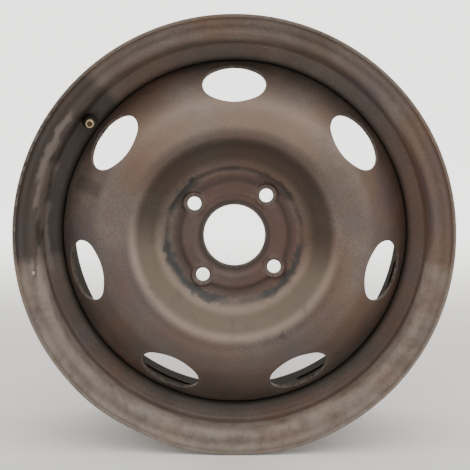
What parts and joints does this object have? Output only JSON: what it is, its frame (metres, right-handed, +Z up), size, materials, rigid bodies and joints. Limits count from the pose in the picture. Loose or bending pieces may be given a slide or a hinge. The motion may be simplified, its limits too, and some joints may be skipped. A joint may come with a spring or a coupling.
{
  "type": "steel car wheel",
  "caption": "Bare pressed-steel car wheel with no tyre: drop-centre rim, dished vented disc, bolt holes with coned seats, centre bore and a snap-in valve; worn and rusty.",
  "frame": {"origin": "centre of the rim, on the wheel's axis and midway between the two lips", "axes": "+Y along the wheel's axis, inboard; -Y is the outboard face; +Z up, through the middle of one vent"},
  "size_m": [0.4136, 0.1786, 0.4135],
  "materials": {
    "rim_steel": "satin, aged paint with surface rust",
    "disc_steel": "satin, aged paint with surface rust",
    "weld_steel": "matt, rusted",
    "valve_rubber": "matt",
    "valve_brass": "satin",
    "core_brass": "satin",
    "gasket_plastic": "matt",
    "spring_steel": "satin"
  },
  "bodies": {
    "wheel": {"rim": "rim_steel", "hub_pad": "disc_steel", "disc_bowl": "disc_steel", "disc_crown": "disc_steel", "disc_skirt": "disc_steel", "disc_bridge_1": "disc_steel", "disc_bridge_2": "disc_steel", "disc_bridge_3": "disc_steel", "disc_bridge_4": "disc_steel", "disc_bridge_5": "disc_steel", "disc_bridge_6": "disc_steel", "disc_bridge_7": "disc_steel", "disc_weld_beads": "weld_steel", "valve_rubber": "valve_rubber", "valve_stem": "valve_brass", "valve_core_plug": "core_brass", "valve_core_barrel": "core_brass", "valve_core_gasket": "gasket_plastic", "valve_core_spring": "spring_steel"},
    "valve_pin": {"valve_core_pin": "core_brass", "valve_core_cup": "core_brass"}
  },
  "joints": [
    {"name": "valve_pin_press", "type": "slide", "parent": "wheel", "child": "valve_pin", "axis": [-0.1626, 0.9781, 0.1296], "range_m": [0, 0.0012], "stiffness_N_per_m": 600, "springref_m": -0.002, "deforming": ["valve_core_spring"]}
  ]
}
